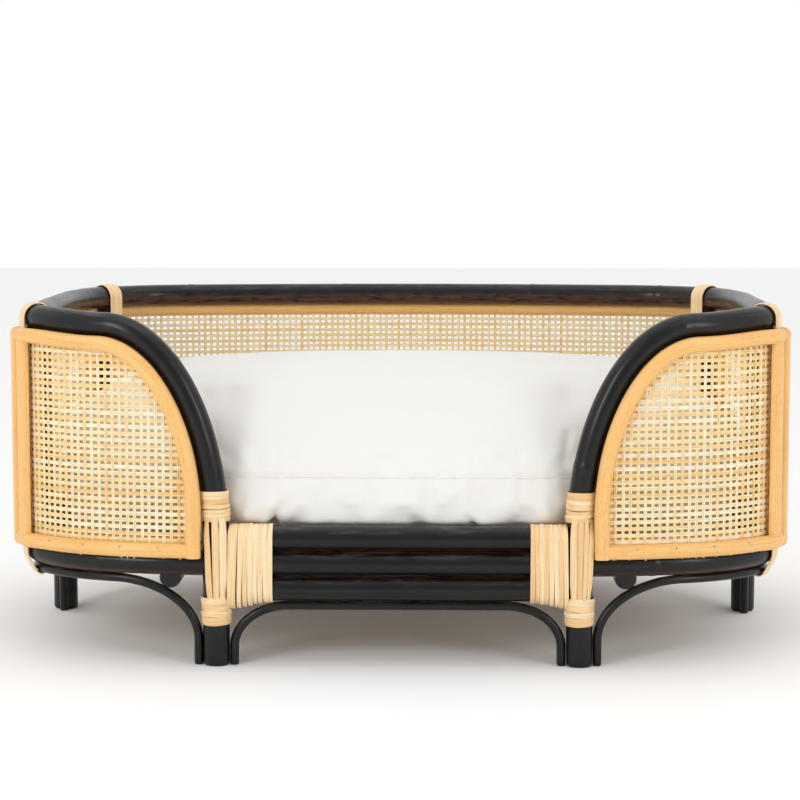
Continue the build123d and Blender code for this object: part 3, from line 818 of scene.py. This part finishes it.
def battens():
    """Battens round every panel, outside (just clear of the joints) and inside (clear of the posts)."""
    outer = (CANE_FACE + .1 * MM, BATTEN_W, BATTEN_T, 1)
    inner = (CANE_IN - .1 * MM, INNER_W, INNER_T, -1)
    inner_low = RING_Z + RAIL_R + .3 * MM
    seam, post = .4 * MM, CORNER_R + .5 * MM
    for side in ("right", "left"):
        stock = Stock()
        end = FRONT_CORNER - seam
        out, width, thick, _ = outer
        level_batten(stock, sided(side, POST_R + 1 * MM + width * .5), sided(side, end),
                     PANEL_LOW + width / 2, *outer)
        upright_batten(stock, sided(side, end - END_BATTEN_W / 2), PANEL_LOW + width * .6,
                       PANEL_HIGH - width * .4, out, END_BATTEN_W, thick * .95)
        arm_batten(stock, side, PANEL_LOW + .5 * MM, out + .5 * MM, width, thick,
                   (POST_R - .2 * MM, POST_R - 3.4 * MM), end)
        stock.piece(f"{side}_wing_batten_frame", BATTEN, "batten", f"{side}_wing_battens")
        stock = Stock()
        ends = (sided(side, FRONT_CORNER + seam), sided(side, BACK_CORNER - seam))
        batten_window(stock, *ends, PANEL_LOW, *outer)
        stock.piece(f"{side}_side_batten_frame", BATTEN, "batten", f"{side}_side_battens")
        stock = Stock()
        end = FRONT_CORNER - post
        out, width, thick, facing = inner
        level_batten(stock, sided(side, POST_R + 3 * MM), sided(side, end), inner_low + width / 2, *inner)
        upright_batten(stock, sided(side, end - width / 2), inner_low + width, PANEL_HIGH - width, *inner)
        arm_batten(stock, side, inner_low, out, width, thick, (POST_R + 3.6 * MM,) * 2, end, facing)
        ends = (sided(side, FRONT_CORNER + post), sided(side, BACK_CORNER - post))
        batten_window(stock, *ends, inner_low, *inner)
        stock.piece(f"{side}_inner_batten_frames", BATTEN, "batten", f"{side}_inner_battens")
    for name, clear, low, kind in (("back", seam, PANEL_LOW, outer), ("back_inner", post, inner_low, inner)):
        stock = Stock()
        batten_window(stock, BACK_CORNER + clear, LOOP - BACK_CORNER - clear, low, *kind)
        stock.piece(f"{name}_batten_frame", BATTEN, "batten", f"{name}_battens")


def batten_window(stock, a, b, low, out, width, thick, facing):
    """Four battens round a panel: the uprights stand the full height, the level ones fit between."""
    way = 1 if b > a else -1
    rise = 2.2 * MM
    for z in (low + width / 2, PANEL_HIGH + rise - width / 2):
        level_batten(stock, a + way * width * .9, b - way * width * .9, z, out, width, thick * .97, facing)
    for s in (a + way * width / 2, b - way * width / 2):
        upright_batten(stock, s, low, PANEL_HIGH + rise, out, width, thick, facing)


# ---- peel bindings and straps ---------------------------------------------------------------------
def hoop(stock, middle, radius, width, thick, tilt, start, tone):
    """One turn of peel round a post, slightly tilted."""
    a = np.linspace(0, 2 * np.pi, 56, endpoint=False) + start
    out = np.stack([np.cos(a), np.sin(a), 0 * a], -1)
    points = np.array(middle) + out * radius
    points[:, 2] += tilt * np.cos(a - start) + .15 * MM * np.sin(3 * a + start)
    sweep_section(stock, points, out, ribbon(width, thick), tone, closed=True)


# Turns of each post binding, by their share of its height. The lower binding laps over the lashing.
TURNS = {"upper": (.8, .9, .9, 1, 1.2, 1.7), "lower": (1.3, .9, .9, 1.2)}
LAP = {"upper": 0, "lower": 4 * MM}


def post_bindings():
    """Turns of peel round the post, above and below the lashing."""
    for side, sign in SIGNS.items():
        for level, shares in TURNS.items():
            stock = Stock()
            low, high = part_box(f"{side}_{level}_post_binding")
            tall = high.z + LAP[level] - low.z
            edges = low.z + tall * np.concatenate([[0], np.cumsum(shares)]) / sum(shares)
            for i, (a, b) in enumerate(zip(edges, edges[1:])):
                z = (a + b) / 2
                radius = POST_R + (.3 + .3 * (i % 2)) * MM
                thick, tilt = rng.uniform(1.2, 1.5) * MM, rng.normal(0, .4 * MM)
                start, tone = rng.uniform(0, 6.28), rng.uniform(.1, .9)
                hoop(stock, (sign * (POST_X + arm_lean(z)), FRONT_Y, z), radius, (b - a) * 1.05, thick,
                     tilt, start, tone)
            stock.piece(f"{side}_{level}_post_binding_peel", PEEL, "peel", f"{side}_{level}_post_binding")


def stadium(half, radius, count=40):
    """A long round-ended outline in the YZ plane round the stacked rails: points and outward ways."""
    a = np.linspace(-np.pi / 2, np.pi / 2, count // 2)
    straight = np.linspace(-half, half, 14)[1:-1]
    top = np.stack([np.sin(a) * radius, half + np.cos(a) * radius], -1)
    top_out = np.stack([np.sin(a), np.cos(a)], -1)
    back = np.stack([np.full(12, radius), straight[::-1]], -1)
    bottom, bottom_out = -top, -top_out
    points = np.concatenate([top, back, bottom, -back])
    outs = np.concatenate([top_out, np.tile([1.0, 0], (12, 1)), bottom_out, np.tile([-1.0, 0], (12, 1))])
    return points, outs


# Rail-end strips, mm from the post's axis: first and last edge, count, the width of one set apart.
RAIL_ENDS = {"right": (10.4, 43.0, 8, 0), "left": (19.4, 49.9, 7, 7.6)}


def rail_end_bindings():
    """Strips wound round the three stacked rails; those next to the post reach down towards its foot."""
    for side, (near, far, count, apart) in RAIL_ENDS.items():
        stock = Stock()
        edges = np.linspace(near, far, count + 1)
        edges = list(zip(edges, edges[1:]))
        if apart:
            edges.insert(0, (near - .9 - apart, near - .9))
        outline, outs = stadium((RAIL_ZS[2] - RAIL_ZS[0]) / 2, RAIL_R + .1 * MM)
        drop = -outline[:, 1] / abs(outline[:, 1]).max()
        below = np.clip(drop * 2 - 1, 0, 1)
        for i, (a, b) in enumerate(edges):
            lift = (.2 * (i % 2) + rng.uniform(0, .35)) * MM
            yz = outline + outs * lift
            share = np.clip((far - (a + b) / 2) / (far - near), 0, 1)
            yz[:, 1] -= below * 6.0 * MM * share ** 1.5
            yz[:, 0] *= 1 - .12 * below * share
            x = POST_X - (a + b) / 2 * MM + (1.2 * MM * share ** 2 + rng.normal(0, .2 * MM)) * drop
            narrow = 1 - .10 * rng.uniform(0, 1) * drop
            points = np.stack([SIGNS[side] * x, FRONT_Y + yz[:, 0], RAIL_ZS[1] + yz[:, 1]], -1)
            normals = np.stack([0 * yz[:, 0], outs[:, 0], outs[:, 1]], -1)
            section = ribbon((b - a) * 1.03 * MM, rng.uniform(1.1, 1.4) * MM)
            sweep_section(stock, points, normals, section, rng.uniform(.2, 1), closed=True, scale=narrow)
        stock.piece(f"{side}_rail_end_binding_peel", PEEL, "peel", f"{side}_rail_end_binding")


# Lashing strips, mm from the post's axis towards the rails: both edges at the top, then at the foot.
LASHING = {
    "right": ((-12.6, -8.0, -9.6, -5.6), (-8.0, -3.2, -5.8, -1.6),
              (-3.2, 2.6, -1.6, 3.0), (2.6, 8.8, 3.0, 9.0)),
    "left": ((-9.9, -4.9, -7.4, -1.6), (-2.6, 3.8, -1.4, 4.2), (3.8, 10.9, 4.2, 10.4)),
}


def post_lashings():
    """Strips from the upper binding to the lower one, before and behind the post and rail ends."""
    for side, strips in LASHING.items():
        sign = SIGNS[side]
        stock = Stock()
        low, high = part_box(f"{side}_post_lashing")
        z0, z1 = low.z - 4 * MM, high.z + 4 * MM
        for face in (-1, 1):
            for i, edges in enumerate(strips):
                z = np.linspace(z0, z1, 30)
                share = (z1 - z) / (z1 - z0)
                a, b = (edges[k] + (edges[k + 2] - edges[k]) * share for k in (0, 1))
                tuck = np.clip((z - (z1 - .016)) / .016, 0, 1) + np.clip((z0 + .016 - z) / .016, 0, 1)
                middle = (a + b) / 2 * (1 - .12 * tuck) * MM
                x = middle + .25 * MM * wave(z, .03, i + 60)
                depth = np.sqrt(np.clip(POST_R ** 2 - x ** 2, 0, None))
                hug = eased(np.clip(np.minimum(z - z0, z1 - z) / .020, 0, 1))
                y = depth * (1 - hug) + np.maximum(depth, RAIL_R) * hug + (.5 + .3 * (i % 2)) * MM
                points = np.stack([sign * (POST_X - x), FRONT_Y + face * y, z], -1)
                lean = x / POST_R * (1 - hug * .6)
                normals = np.stack([-sign * lean, face * np.sqrt(np.clip(1 - lean ** 2, .1, 1)), 0 * z], -1)
                full = (b - a) / (b - a).max() * (1 - .12 * tuck)
                sweep_section(stock, points, normals, ribbon((b - a).max() * 1.02 * MM, 1.25 * MM),
                              rng.uniform(.2, 1), scale=full)
        stock.piece(f"{side}_post_lashing_peel", PEEL, "peel", f"{side}_post_lashing")


def strap_outline():
    """The strap's inner loop in a plane across the frame: outward and height."""
    side = POST_R + .55 * MM
    foot = ARCH_R + 1 * MM
    slope = math.asin((side - foot) / (RING_Z - ARCH_Z))
    a = np.linspace(0, np.pi, 28)
    top = np.stack([np.cos(a) * side, TOP_Z + np.sin(a) * side], -1)
    inner = np.stack([np.full(50, -side), np.linspace(TOP_Z, RING_Z, 52)[1:-1]], -1)
    b = np.linspace(0, slope, 6)
    hip_in = np.stack([-side * np.cos(b), RING_Z - side * np.sin(b)], -1)
    c = np.linspace(slope, np.pi - slope, 16)
    toe = np.stack([-foot * np.cos(c), ARCH_Z - foot * np.sin(c)], -1)
    hip_out = hip_in[::-1] * [-1, 1]
    outer = inner[::-1] * [-1, 1]
    return np.concatenate([top, inner, hip_in, toe, hip_out, outer])


def straps():
    """Three strips side by side round the top rail, corner post and seat rail at each pole joint."""
    outline = strap_outline()
    ahead = tangents(outline, True)
    outs = np.stack([ahead[:, 1], -ahead[:, 0]], -1)
    strips, up = 3, np.array([0, 0, 1.0])
    width = STRAP_W / strips
    for side in ("right", "left"):
        for name, s in (("front_corner_strap", FRONT_CORNER), ("back_corner_strap", BACK_CORNER)):
            stock = Stock()
            (base,), (way,) = line(np.array([sided(side, s)]))
            along = np.cross(up, way)
            for i in range(strips):
                shift = (i - (strips - 1) / 2) * width
                points = base + outline[:, :1] * way + outline[:, 1:] * up + along * shift
                points = points + outs[:, :1] * way * .1 * MM * (i % 2)
                normals = outs[:, :1] * way + outs[:, 1:] * up
                section = ribbon(width * 1.03, 1.6 * MM)
                sweep_section(stock, points, normals, section, rng.uniform(.3, .8), closed=True)
            stock.piece(f"{side}_{name}_peel", PEEL, "peel", f"{side}_{name}")


# ---- fixings --------------------------------------------------------------------------------------
def nail_heads():
    """A small domed head at the outer end of each batten nail."""
    work = bmesh.new()
    work.from_mesh(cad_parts["batten_nails"].data)
    bmesh.ops.remove_doubles(work, verts=work.verts, dist=1e-6)
    work.verts.index_update()
    seen, stock = set(), Stock()
    for first in work.verts:
        if first.index in seen:
            continue
        seen.add(first.index)
        island, front = [], [first]
        while front:
            vert = front.pop()
            island.append(vert.co)
            for edge in vert.link_edges:
                other = edge.other_vert(vert)
                if other.index not in seen:
                    seen.add(other.index)
                    front.append(other)
        co = np.array(island)
        middle = co.mean(0)
        axis = np.linalg.svd(co - middle)[2][0]
        if axis[:2].dot(middle[:2]) < 0:
            axis = -axis
        reach = ((co - middle) @ axis).max()
        tip = middle + axis * (reach + .55 * MM)
        side = np.cross(axis, [0, 0, 1.0])
        up = np.cross(side, axis)
        a = np.linspace(0, 2 * np.pi, 12, endpoint=False)
        around = np.cos(a)[:, None] * side + np.sin(a)[:, None] * up
        dome = ((.15, 0), (.75, .08), (1.05, .3), (.9, .6), (.7, 6.0))
        rings = [tip + (around * out - axis * back) * MM for out, back in dome]
        stock.loft(np.array(rings), rng.uniform(0, 1))
    work.free()
    stock.piece("batten_nail_heads", STEEL, "steel", "batten_nails")


def carried_over():
    """CAD nodes whose own shape is right: slats, screws and dowels get their material."""
    for name, material in (("seat_slats", WOOD), ("joint_dowels", WOOD), ("frame_screws", STEEL)):
        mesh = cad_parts[name].data
        mesh.materials.clear()
        mesh.materials.append(material)


# ---- cushion --------------------------------------------------------------------------------------
def cushion_start():
    """A closed puffy body inside the frame, before it swells: rounded sides, crowned top."""
    inset, rounding, crown = .023, .062, .016
    s = steps(0, LOOP, .008)
    middle = (SEAT_Z + CUSHION_TOP) / 2
    half = (CUSHION_TOP - SEAT_Z) / 2 - .004
    sides = []
    for a in np.radians(np.linspace(-90, 90, 19)):
        pull = rounding * (1 - np.cos(a) ** .62)
        points, _ = line(s, middle + half * np.sin(a), -(inset + pull))
        front = points[0] + (points[-1] - points[0]) * np.linspace(0, 1, 40)[1:-1, None]
        sides.append(np.concatenate([points, front[::-1]]))
    axis = sides[9].mean(0)
    axis[2] = 0

    def shrunk(ring, share, rise):
        return axis + (ring - axis) * [share, share, 1] + [0, 0, rise]

    shares = (.8, .6, .4, .2, .05)
    below = [shrunk(sides[0], share, 0) for share in shares[::-1]]
    above = [shrunk(sides[-1], share, crown * (1 - share ** 2)) for share in shares]
    return np.array(below + sides + above)


def cushion():
    """The cover: a closed body, remeshed, inflated by cloth simulation and then creased."""
    stock = Stock()
    stock.loft(cushion_start())
    obj = stock.piece("cushion_cover_cloth", CANVAS, "canvas", "cushion_upper_cover",
                      "cushion_lower_cover", "cushion_filling", body="cushion")
    remesh = obj.modifiers.new("even", "REMESH")
    remesh.mode = "VOXEL"
    remesh.voxel_size = .0058
    apply(obj, remesh)
    start = coordinates(obj)
    simulate(obj, start)
    soften = obj.modifiers.new("soften", "SMOOTH")
    soften.iterations, soften.factor = 3, .5
    apply(obj, soften)
    finer = obj.modifiers.new("finer", "SUBSURF")
    finer.levels = finer.render_levels = 1
    apply(obj, finer)
    detail_cushion(obj)
    obj.data.shade_smooth()
    cushion_seam(obj)


def apply(obj, modifier):
    """Bakes a modifier into the mesh."""
    bpy.context.view_layer.update()
    graph = bpy.context.evaluated_depsgraph_get()
    mesh = bpy.data.meshes.new_from_object(obj.evaluated_get(graph))
    obj.modifiers.remove(modifier)
    old, obj.data = obj.data, mesh
    bpy.data.meshes.remove(old)


def coordinates(obj, key="co"):
    """Every vertex's place, or its normal."""
    co = np.zeros(len(obj.data.vertices) * 3, np.float32)
    obj.data.vertices.foreach_get(key, co)
    return co.reshape(-1, 3).astype(float)


def set_coordinates(obj, co):
    obj.data.vertices.foreach_set("co", co.astype(np.float32).reshape(-1))
    obj.data.update()


def simulate(obj, start):
    """Inflates the cover with its seam and its underside held; no point moves further than a cap."""
    frames, cap = 20, .011
    held = bell(start[:, 2] - SEAM_Z, .0035)
    held = np.maximum(held, np.clip(1 - (start[:, 2] - SEAT_Z) / .014, 0, 1))
    group = obj.vertex_groups.new(name="held")
    for i in np.flatnonzero(held > .05):
        group.add([int(i)], float(min(1, held[i])), "REPLACE")
    cloth = obj.modifiers.new("cloth", "CLOTH")
    settings = cloth.settings
    settings.quality = 5
    settings.mass = .25
    settings.tension_stiffness = settings.compression_stiffness = 12
    settings.shear_stiffness = 4
    settings.bending_stiffness = .4
    settings.use_pressure = True
    settings.uniform_pressure_force = 4
    settings.vertex_group_mass = "held"
    settings.shrink_min = -.03
    settings.effector_weights.gravity = 0
    cloth.collision_settings.use_collision = False
    cloth.point_cache.frame_start, cloth.point_cache.frame_end = 1, frames
    scene = bpy.context.scene
    for f in range(1, frames + 1):
        scene.frame_set(f)
    apply(obj, cloth)
    scene.frame_set(1)
    moved = coordinates(obj) - start
    length = np.linalg.norm(moved, axis=1, keepdims=True)
    moved *= np.minimum(1, cap / np.maximum(length, 1e-9))
    set_coordinates(obj, start + moved)


def cushion_seam(obj):
    """The sewn edge where the two cover panels meet, as a fine ridge that follows the cushion's side."""
    mesh = obj.data
    mesh.update()
    tree = BVHTree.FromPolygons([v.co for v in mesh.vertices], [p.vertices[:] for p in mesh.polygons])
    inner, ways = line(steps(0, LOOP, .003), SEAM_Z, -.10)
    x = np.linspace(inner[-1][0], inner[0][0], 100)[1:-1]
    inner = np.concatenate([inner, np.stack([x, np.full(98, inner[0][1]), np.full(98, SEAM_Z)], -1)])
    ways = np.concatenate([ways, np.tile([0.0, -1, 0], (98, 1))])
    found = []
    for origin, way in zip(inner, ways):
        hit, normal, _, _ = tree.ray_cast(Vector(origin), Vector(way))
        if hit is not None:
            found.append(np.array(hit))
    path = np.array(found)
    for _ in range(4):
        path = (path + np.roll(path, 1, 0) + np.roll(path, -1, 0)) / 3
    path[:, 2] = SEAM_Z + .0006 * wave(np.linspace(0, 2, len(path)), .05, 8)
    around = tangents(path, True)
    out = np.stack([around[:, 1], -around[:, 0], 0 * path[:, 0]], -1)
    lip = np.array([[.55, -.6], [.55, .45], [.3, .8], [-.3, .8], [-.55, .45], [-.55, -.6]]) * MM
    stock = Stock()
    sweep_section(stock, path, out, lip, closed=True)
    stock.piece("cushion_cover_seam", CANVAS, "canvas", body="cushion")


def stroke(co, normals, path, depth, width):
    """Presses a crease into the cushion's front, along a path given by x and height."""
    near = np.full(len(co), 1.0)
    share = np.zeros(len(co))
    for k, (a, b) in enumerate(zip(path, path[1:])):
        d = b - a
        t = np.clip(((co[:, [0, 2]] - a) @ d) / d.dot(d), 0, 1)
        gap = np.linalg.norm(co[:, [0, 2]] - a - t[:, None] * d, axis=1)
        better = gap < near
        share[better] = ((k + t) / (len(path) - 1))[better]
        near = np.minimum(near, gap)
    facing = np.clip(-normals[:, 1] * 1.5, 0, 1)
    push = depth * bell(near, width) * (1 - share) ** .7
    ridge = -.12 * depth * bell(near - 2.2 * width, 1.2 * width) * (1 - share)
    return -normals * ((push + ridge) * facing)[:, None]


# The folds: a line of (x, height over the top front rail), how deep, and how wide.
FOLDS = (
    ([(-.109, -.003), (-.105, .008), (-.097, .020)], .009, .0045),
    ([(.068, -.004), (.064, .003), (.057, .009)], .005, .0026),
    ([(.150, .0757), (.146, .0557), (.148, .0377)], .0025, .0040),
    ([(-.118, -.006), (-.134, .020), (-.140, .050)], .0012, .008),
    ([(.105, -.006), (.118, .022), (.122, .048)], .0012, .008),
    ([(.02, -.006), (.03, .03)], .0025, .008),
)


def detail_cushion(obj):
    """The seam's groove and puckers, the front's bulge over the rail, and its larger folds."""
    co = coordinates(obj)
    normals = coordinates(obj, "normal")
    x, y, z = co.T
    between = POST_X + arm_lean(z) - POST_R + 5 * MM
    middle_front = np.clip(1 - (np.abs(x) / between) ** 16, 0, 1)
    front = np.clip(-normals[:, 1], 0, 1) * (y < FRONT_Y + .12)
    above = np.clip((z - RAIL_ZS[2] - RAIL_R * .4) / .008, 0, 1) * np.clip((CUSHION_TOP - z) / .05, 0, 1)
    shift = np.zeros_like(co)
    shift[:, 1] -= .008 * middle_front * front * above
    rail_top = RAIL_ZS[2] + RAIL_R
    under_seam = np.clip((SEAM_Z - z) / (SEAM_Z - rail_top), 0, 1) ** 1.5
    behind_rail = np.clip((z - rail_top) / .006 + 1, 0, 1)
    shift[:, 1] -= .014 * under_seam * behind_rail * middle_front * front
    off = z - SEAM_Z
    around = np.where(np.abs(normals[:, 1]) > np.abs(normals[:, 0]), x, y)
    level = 1 - np.abs(normals[:, 2])
    groove = .0012 * bell(off, .0030) * level
    pucker = sum(np.sin(around * k + k) for k in (190, 310, 470)) / 3
    pucker = .0011 * pucker * np.exp(-np.abs(off) / .016) * level
    sag = .0016 * np.sin(around * 26 + 1.3) * bell(off, .05) * level
    shift += normals * (pucker + sag - groove)[:, None]
    for path, depth, width in FOLDS:
        shift += stroke(co, normals, np.add(path, [0, rail_top]), depth, width)
    set_coordinates(obj, co + shift)


# ---- stage ----------------------------------------------------------------------------------------
# Name, place, target, width, height, power of each light.
LIGHTS = (
    ("overhead", (0, -.1, 2.0), (0, 0, .1), 1.6, .8, 2),
    ("key_left", (-1.6, -2.2, 1.15), (0, -.1, .15), .5, 1.2, 18),
    ("fill_right", (1.9, -2.0, 1.0), (0, -.1, .15), .5, 1.2, 13),
)


def studio():
    """A pale floor, a white room that is dimmer in front of the bed, and three soft lights."""
    scene = bpy.context.scene
    floor_mesh = bpy.data.meshes.new("floor")
    reach = 8.0
    corners = [(-reach, -reach, 0), (reach, -reach, 0), (reach, reach, 0), (-reach, reach, 0)]
    floor_mesh.from_pydata(corners, [], [(0, 1, 2, 3)])
    floor = bpy.data.objects.new("floor", floor_mesh)
    scene.collection.objects.link(floor)
    floor.location.z = -.0004
    material = bpy.data.materials.new("pale_floor")
    material.use_nodes = True
    shader = material.node_tree.nodes["Principled BSDF"]
    shader.inputs["Base Color"].default_value = (.96, .96, .96, 1)
    shader.inputs["Roughness"].default_value = .9
    floor_mesh.materials.append(material)

    world = bpy.data.worlds.new("studio")
    scene.world = world
    world.use_nodes = True
    tree = world.node_tree
    background = tree.nodes["Background"]
    background.inputs["Color"].default_value = (1, 1, 1, 1)
    split = tree.nodes.new("ShaderNodeSeparateXYZ")
    dimmer = tree.nodes.new("ShaderNodeMapRange")
    tree.links.new(tree.nodes.new("ShaderNodeTexCoord").outputs["Generated"], split.inputs[0])
    tree.links.new(split.outputs[1], dimmer.inputs["Value"])
    for name, value in (("From Min", -.9), ("From Max", -.35), ("To Min", .46), ("To Max", 1.0)):
        dimmer.inputs[name].default_value = value
    tree.links.new(dimmer.outputs[0], background.inputs["Strength"])

    for name, place, target, width, height, power in LIGHTS:
        light = bpy.data.lights.new(name, "AREA")
        light.shape = "RECTANGLE"
        light.size, light.size_y = width, height
        light.energy = power
        obj = bpy.data.objects.new(name, light)
        scene.collection.objects.link(obj)
        obj.location = place
        obj.rotation_euler = (Vector(target) - Vector(place)).to_track_quat("-Z", "Y").to_euler()


def camera():
    """At the viewing angle of the product shot: low, far and almost square on."""
    yaw, pitch, reach, height = math.radians(-1.2), math.radians(5.84), 1.887, .425
    forward = Vector((math.sin(yaw), math.cos(yaw), 0))
    right = Vector((math.cos(yaw), -math.sin(yaw), 0))
    lens = bpy.data.cameras.new("camera")
    lens.sensor_width, lens.lens = 36, 99
    obj = bpy.data.objects.new("camera", lens)
    bpy.context.scene.collection.objects.link(obj)
    obj.location = Vector((0, FRONT_Y, height)) - forward * reach + right * .0021
    aim = forward * math.cos(pitch) - Vector((0, 0, math.sin(pitch)))
    obj.rotation_euler = aim.to_track_quat("-Z", "Y").to_euler()
    bpy.context.scene.camera = obj


camera()
studio()
rails()
arches()
seat_base()
webs()
battens()
post_bindings()
rail_end_bindings()
post_lashings()
straps()
nail_heads()
carried_over()
cushion()
bpy.context.scene.view_settings.view_transform = "Standard"
